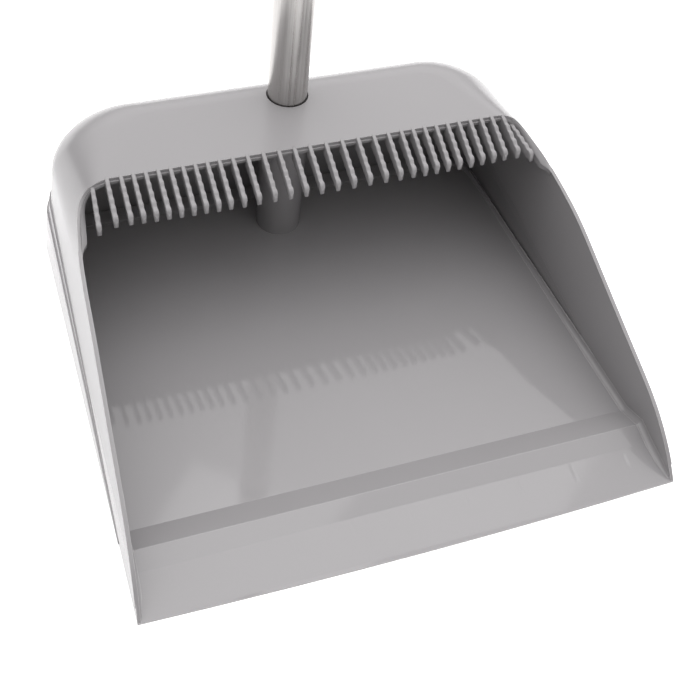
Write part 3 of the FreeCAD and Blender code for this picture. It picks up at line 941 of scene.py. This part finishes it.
@dataclass
class Cove:
    """Hollow fillet where the floor meets the side walls, and a low ledge along the back."""

    edge: HoodEdge
    lip_y: float
    depth: float = 272.0 * MM
    wall: float = 1.7 * MM
    radius: float = 3.2 * MM
    back_radius: float = 1.6 * MM
    ledge_depth: float = 9.9 * MM
    ledge_height: float = 1.7 * MM
    ledge_edge: float = 0.3 * MM
    corner: float = 19.0 * MM
    back_inset: float = 3.6 * MM
    steps: int = 7
    bury: float = 0.4 * MM
    skim: float = 0.02 * MM
    crease: float = 32.0
    profile: tuple[tuple[float, float], ...] = (
        (2.0, 1.15), (23.7, 5.4), (34.2, 9.0), (49.0, 3.2), (272.0, 5.6))
    stops: tuple[float, ...] = (
        2.0, 6.0, 12.0, 18.0, 22.0, 23.7, 25.5, 29.0, 32.5, 34.2, 36.0, 40.0, 45.0, 47.5, 49.0,
        51.0, 60.0, 90.0, 130.0, 170.0, 200.0, 225.0)

    def floor_at(self, depth: float) -> float:
        """Height of the lip, ridge or floor.

        Args:
            depth: Distance from the lip's corners.

        Returns:
            The height.
        """
        deep = depth / MM
        for (near, low), (far, high) in zip(self.profile, self.profile[1:]):
            if deep <= far:
                return (low + (high - low) * (deep - near) / (far - near)) * MM
        return self.profile[-1][1] * MM

    def line(self) -> list[tuple[Vector, Vector, float, float]]:
        """Follow the corner line from the lip to the middle of the back wall.

        Returns:
            Its points, the ways inwards, the fillet's radii and the ledge's shares.
        """
        made = []
        for stop in self.stops:
            depth = stop * MM
            height = self.floor_at(depth)
            half = self.edge.plain_half(depth, height, self.wall)
            radius = self.radius * min(1.0, 0.25 + stop / 20.0)
            blend = max(0.0, (stop - 90.0) / 135.0)
            radius += (self.back_radius - radius) * blend
            made.append((Vector((half, self.lip_y + depth, height)), Vector((-1.0, 0.0, 0.0)),
                         radius, 0.0))
        rear = self.depth - self.back_inset
        side = self.edge.plain_half(rear, 5.4 * MM, self.wall)
        for step, (out, back) in enumerate(arc((0.0, 0.0), 1.0, 0.0, 8)):
            depth = rear - self.corner + self.corner * back
            spot = Vector((side - self.corner + self.corner * out, self.lip_y + depth,
                           self.floor_at(depth)))
            made.append((spot, Vector((-out, -back, 0.0)), self.back_radius, step / 8.0))
        return made

    def ring(self, spot: Vector, inward: Vector, radius: float, ledge: float) -> list[Point]:
        """Cross section of the cove.

        Args:
            spot: The corner between floor and wall.
            inward: The way along the floor, away from the wall.
            radius: The hollow's radius.
            ledge: 0 for the hollow fillet, 1 for the full ledge.

        Returns:
            The ring's points.
        """
        bury, skim, edge = self.bury, self.skim, self.ledge_edge
        deep, high = self.ledge_depth, self.ledge_height
        flat = [(-bury, -bury), (radius, -bury), (radius, skim)]
        flat += arc((radius, radius), radius, -2.0, self.steps)[-2:0:-1]
        flat += [(skim, radius), (-bury, radius)]
        step_up = [(-bury, -bury), (deep, -bury), (deep, skim)]
        step_up += arc((deep - edge, high - edge), edge, 0.0, self.steps - 2)
        step_up += [(skim, high), (-bury, high)]
        ring = []
        for (across, up), (out, rise) in zip(flat, step_up):
            across += (out - across) * ledge
            up += (rise - up) * ledge
            point = spot + inward * (across + up * self.edge.lean) + Vector((0.0, 0.0, up))
            ring.append(tuple(point))
        return ring

    def build(self, finish: bpy.types.Material) -> None:
        """Sweep the cove round the floor and tie it to the pan."""
        rings = [self.ring(*stop) for stop in self.line()]
        settle(sweep("floor_cove", rings, finish, self.crease), Body.PAN, Slot.PAN)


@dataclass
class Pan:
    """The moulded pan with its comb and the pole's socket."""

    finishes: Finishes
    lip_bow: float = 2.4 * MM

    def build(self) -> None:
        """Dress the moulding and make the cove and the comb."""
        lip_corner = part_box("pan_shell")[0].y + self.lip_bow
        dress("pan_shell", self.finishes.pan, Body.PAN)
        dress("pole_socket", self.finishes.comb, Body.PAN)
        edge = HoodEdge()
        Cove(edge, lip_corner).build(self.finishes.pan)
        Comb(edge, lip_corner).build(self.finishes.comb)


# ---- pole -----------------------------------------------------------------
@dataclass
class Grip:
    """Ribbed rubber sleeve, turned from its outline."""

    groove: float = 0.6 * MM
    groove_half: float = 1.15 * MM
    rings: int = 12
    lip: float = 1.6 * MM
    segments: int = 72
    crease: float = 50.0

    def outline(self, radius: float, outer: float, low: float, high: float) -> list[Pair]:
        """Half section of the sleeve round the pole's radius.

        Args:
            radius: The pole's radius.
            outer: The sleeve's outer radius.
            low: Its foot.
            high: Its top.

        Returns:
            Distance beyond the pole's radius and height, in order.
        """
        wall = outer - radius
        points = [(0.0, high), (0.0, low)]
        points += arc((wall - self.lip, low + self.lip), self.lip, -1.0, 4)
        pitch = (high - low) / (self.rings + 1.0)
        for index in range(self.rings):
            middle = low + pitch * (index + 1.0)
            for step in range(7):
                share = -1.0 + step / 3.0
                dip = self.groove * (0.5 + 0.5 * math.cos(math.pi * share))
                points.append((wall - dip, middle + self.groove_half * share))
        return points + arc((wall - self.lip, high - self.lip), self.lip, 0.0, 4)

    def build(self, finish: bpy.types.Material) -> None:
        """Turn the sleeve and tie it to the pole.

        Args:
            finish: The rubber.
        """
        low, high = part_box("grip_sleeve")
        tube_low, tube_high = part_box("upper_tube")
        radius = (tube_high.x - tube_low.x) / 2.0
        centre = (low + high) / 2.0
        outline = self.outline(radius, (high.x - low.x) / 2.0, low.z, high.z)
        bench = ShapeBench("Turned sleeve")
        bench.socket("Pole radius", "NodeSocketFloat", radius)
        bench.socket("Segments", "NodeSocketInt", self.segments)
        bench.socket("Pole axis", "NodeSocketVector", (centre.x, centre.y, 0.0))
        section = bench.add("GeometryNodeMeshToCurve", Mesh=bench.given("Geometry"))
        path = bench.add("GeometryNodeCurvePrimitiveCircle", Resolution=bench.given("Segments"),
                         Radius=bench.given("Pole radius"))
        turned = bench.add("GeometryNodeCurveToMesh", Curve=path.outputs[0],
                           Profile_Curve=section.outputs[0])
        placed = bench.add("GeometryNodeTransform", Geometry=turned.outputs[0],
                           Translation=bench.given("Pole axis"))
        bench.close(placed.outputs[0], finish)
        piece = bench.run("grip_rings", closed_line([(out, -height) for out, height in outline]))
        fix = bmesh.new()
        fix.from_mesh(piece.data)
        bmesh.ops.remove_doubles(fix, verts=fix.verts, dist=1e-7)
        bmesh.ops.recalc_face_normals(fix, faces=fix.faces)
        fix.to_mesh(piece.data)
        fix.free()
        piece.data.set_sharp_from_angle(angle=math.radians(self.crease))
        settle(piece, Body.POLE, Slot.GRIP, "grip_sleeve")


@dataclass
class Rivets:
    """Domed rivets through the tube's foot."""

    radius: float = 2.3 * MM
    proud: float = 0.8 * MM
    shank: float = 1.5 * MM
    shank_depth: float = 2.0 * MM
    brim: float = 0.4 * MM
    facets: int = 20

    def dome(self) -> bpy.types.Mesh:
        """Loft one rivet head with its shank, standing on Z.

        Returns:
            The rivet's mesh.
        """
        profile = [(self.shank, -self.shank_depth), (self.shank, -self.brim),
                   (self.radius * 0.97, -self.brim)]
        profile += [(self.radius * out, self.proud * up)
                    for out, up in arc((0.0, 0.0), 1.0, 0.0, 5)[:-1]]
        profile.append((0.15 * MM, self.proud))
        turns = [4.0 * QUARTER * step / self.facets for step in range(self.facets)]
        return loft([[(radius * math.cos(turn), radius * math.sin(turn), height)
                      for turn in turns] for radius, height in profile])

    def build(self, node: str, finish: bpy.types.Material) -> None:
        """Set the pair of one connector.

        Args:
            node: The CAD node that holds the pair.
            finish: The bright steel.
        """
        low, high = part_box(node)
        centre = (low + high) / 2.0
        seat = (high.x - low.x) / 2.0 - self.proud
        spots = [(side * seat, centre.y, centre.z) for side in (-1.0, 1.0)]
        template = place("rivet", self.dome())
        bench = ShapeBench("Rivet pair")
        bench.socket("Rivet", "NodeSocketObject", template)
        bench.socket("Size", "NodeSocketFloat", 1.0)
        shape = bench.add("GeometryNodeObjectInfo", Object=bench.given("Rivet"))
        outward = bench.add("GeometryNodeInputNamedAttribute", data_type="FLOAT_VECTOR",
                            Name="outward")
        turn = bench.add("FunctionNodeAlignRotationToVector", axis="Z", Vector=outward.outputs[0])
        stood = bench.add("GeometryNodeInstanceOnPoints", Points=bench.given("Geometry"),
                          Instance=shape.outputs["Geometry"], Rotation=turn.outputs[0],
                          Scale=bench.given("Size"))
        bench.close(stood.outputs[0], finish)
        ways = [(side, 0.0, 0.0) for side in (-1.0, 1.0)]
        piece = bench.run(node.replace("_rivets", "_rivet_heads"), point_row(spots, outward=ways))
        bpy.data.objects.remove(template)
        settle(piece, Body.POLE, Slot.BRIGHT, node)


@dataclass
class Pole:
    """Three steel tubes with their connectors, buttons, grip, cap, clip and loop."""

    finishes: Finishes

    def build(self) -> None:
        """Dress the pole's nodes and make its fine pieces."""
        looks = self.finishes
        for node in ("lower_tube", "middle_tube", "upper_tube"):
            dress(node, looks.pole, Body.POLE)
        for node in ("foot_plug", "lower_connector", "upper_connector", "end_cap"):
            dress(node, looks.fitting, Body.POLE)
        for level, body in (("lower", Body.LOWER_BUTTON), ("upper", Body.UPPER_BUTTON)):
            dress(f"{level}_button_spring", looks.spring, body)
            dress(f"{level}_snap_button", looks.bright, body)
        dress("broom_clip", looks.clip, Body.CLIP)
        dress("hanging_loop", looks.fitting, Body.LOOP)
        for node in ("lower_rivets", "upper_rivets"):
            Rivets().build(node, looks.bright)
        Grip().build(looks.rubber)


# ---- studio ---------------------------------------------------------------
@dataclass(frozen=True)
class Softbox:
    """A square soft light."""

    name: str
    place: Point
    aim: Point
    size: float
    power: float

    def hang(self) -> None:
        """Hang the light and turn it to its aim."""
        light = bpy.data.lights.new(self.name, "AREA")
        light.shape = "SQUARE"
        light.size = self.size
        light.energy = self.power
        holder = place(self.name, light)
        holder.location = self.place
        way = Vector(self.aim) - Vector(self.place)
        holder.rotation_mode = "QUATERNION"
        holder.rotation_quaternion = way.to_track_quat("-Z", "Y")


@dataclass
class Studio:
    """White paper, a soft room, a soft light and the camera."""

    paper: bpy.types.Material
    spread: float = 6.0
    gap: float = 0.1 * MM
    sky_way: Point = (0.1, 0.24, 1.0)
    sky_range: Pair = (0.2, 0.62)
    sky_strength: Pair = (0.02, 1.55)
    camera_place: Point = (-0.19583, -0.40991, 0.52726)
    camera_right: Point = (0.9373, -0.3361, 0.0932)
    camera_up: Point = (0.1975, 0.7316, 0.6526)
    lens: float = 65.37

    def floor(self) -> None:
        """Lay the paper just under the object."""
        half = self.spread
        corners = [(-half, -half), (half, -half), (half, half), (-half, half)]
        mesh = bpy.data.meshes.new("paper_floor")
        mesh.from_pydata([(x, y, -self.gap) for x, y in corners], [], [(0, 1, 2, 3)])
        mesh.materials.append(self.paper)
        sheet = place("paper_floor", mesh)

    def sky(self) -> None:
        """Light the room from overhead and behind; the camera sees plain white."""
        world = bpy.data.worlds.new("soft_room")
        bpy.context.scene.world = world
        world.use_nodes = True
        world.node_tree.nodes.clear()
        bench = NodeBench(world.node_tree)
        output = bench.add("ShaderNodeOutputWorld")
        dot = bench.add("ShaderNodeVectorMath", operation="DOT_PRODUCT")
        bench.feed(dot.inputs[0], bench.add("ShaderNodeTexCoord").outputs["Generated"])
        bench.feed(dot.inputs[1], Vector(self.sky_way).normalized())
        (start, stop), (low, high) = self.sky_range, self.sky_strength
        curve = bench.add("ShaderNodeMapRange", interpolation_type="SMOOTHSTEP",
                          Value=dot.outputs["Value"], From_Min=start, From_Max=stop,
                          To_Min=low, To_Max=high)
        lit = bench.add("ShaderNodeBackground", Color=(1.0, 0.99, 0.995, 1.0),
                        Strength=curve.outputs["Result"])
        seen = bench.add("ShaderNodeBackground", Color=tone(1.0))
        path = bench.add("ShaderNodeLightPath").outputs["Is Camera Ray"]
        both = bench.add("ShaderNodeMixShader")
        for socket, value in zip(both.inputs, (path, lit.outputs[0], seen.outputs[0])):
            bench.feed(socket, value)
        bench.feed(output.inputs[0], both.outputs[0])

    def lights(self) -> None:
        """Hang the soft light."""
        Softbox("overhead", (0.3, 0.3, 2.2), (0.0, 0.0, 0.0), 1.4, 8.0).hang()

    def camera(self) -> None:
        """Stand the camera before and above the pan's left."""
        data = bpy.data.cameras.new("view")
        data.sensor_width = 36.0
        data.lens = self.lens
        data.clip_start = 0.02
        data.clip_end = 50.0
        right, up = Vector(self.camera_right), Vector(self.camera_up)
        axes = Matrix((right, up, right.cross(up))).transposed()
        holder = place("view", data)
        holder.matrix_world = Matrix.Translation(self.camera_place) @ axes.to_4x4()
        bpy.context.scene.camera = holder

    def build(self) -> None:
        """Set up the whole studio."""
        self.camera()
        self.floor()
        self.sky()
        self.lights()
        bpy.context.scene.view_settings.view_transform = "Standard"


def main() -> None:
    """Build every sub-assembly in order."""
    logging.basicConfig(level=logging.INFO, format="%(message)s")
    finishes = Finishes()
    Studio(finishes.paper).build()
    Pan(finishes).build()
    Pole(finishes).build()


if __name__ == "__main__":
    main()
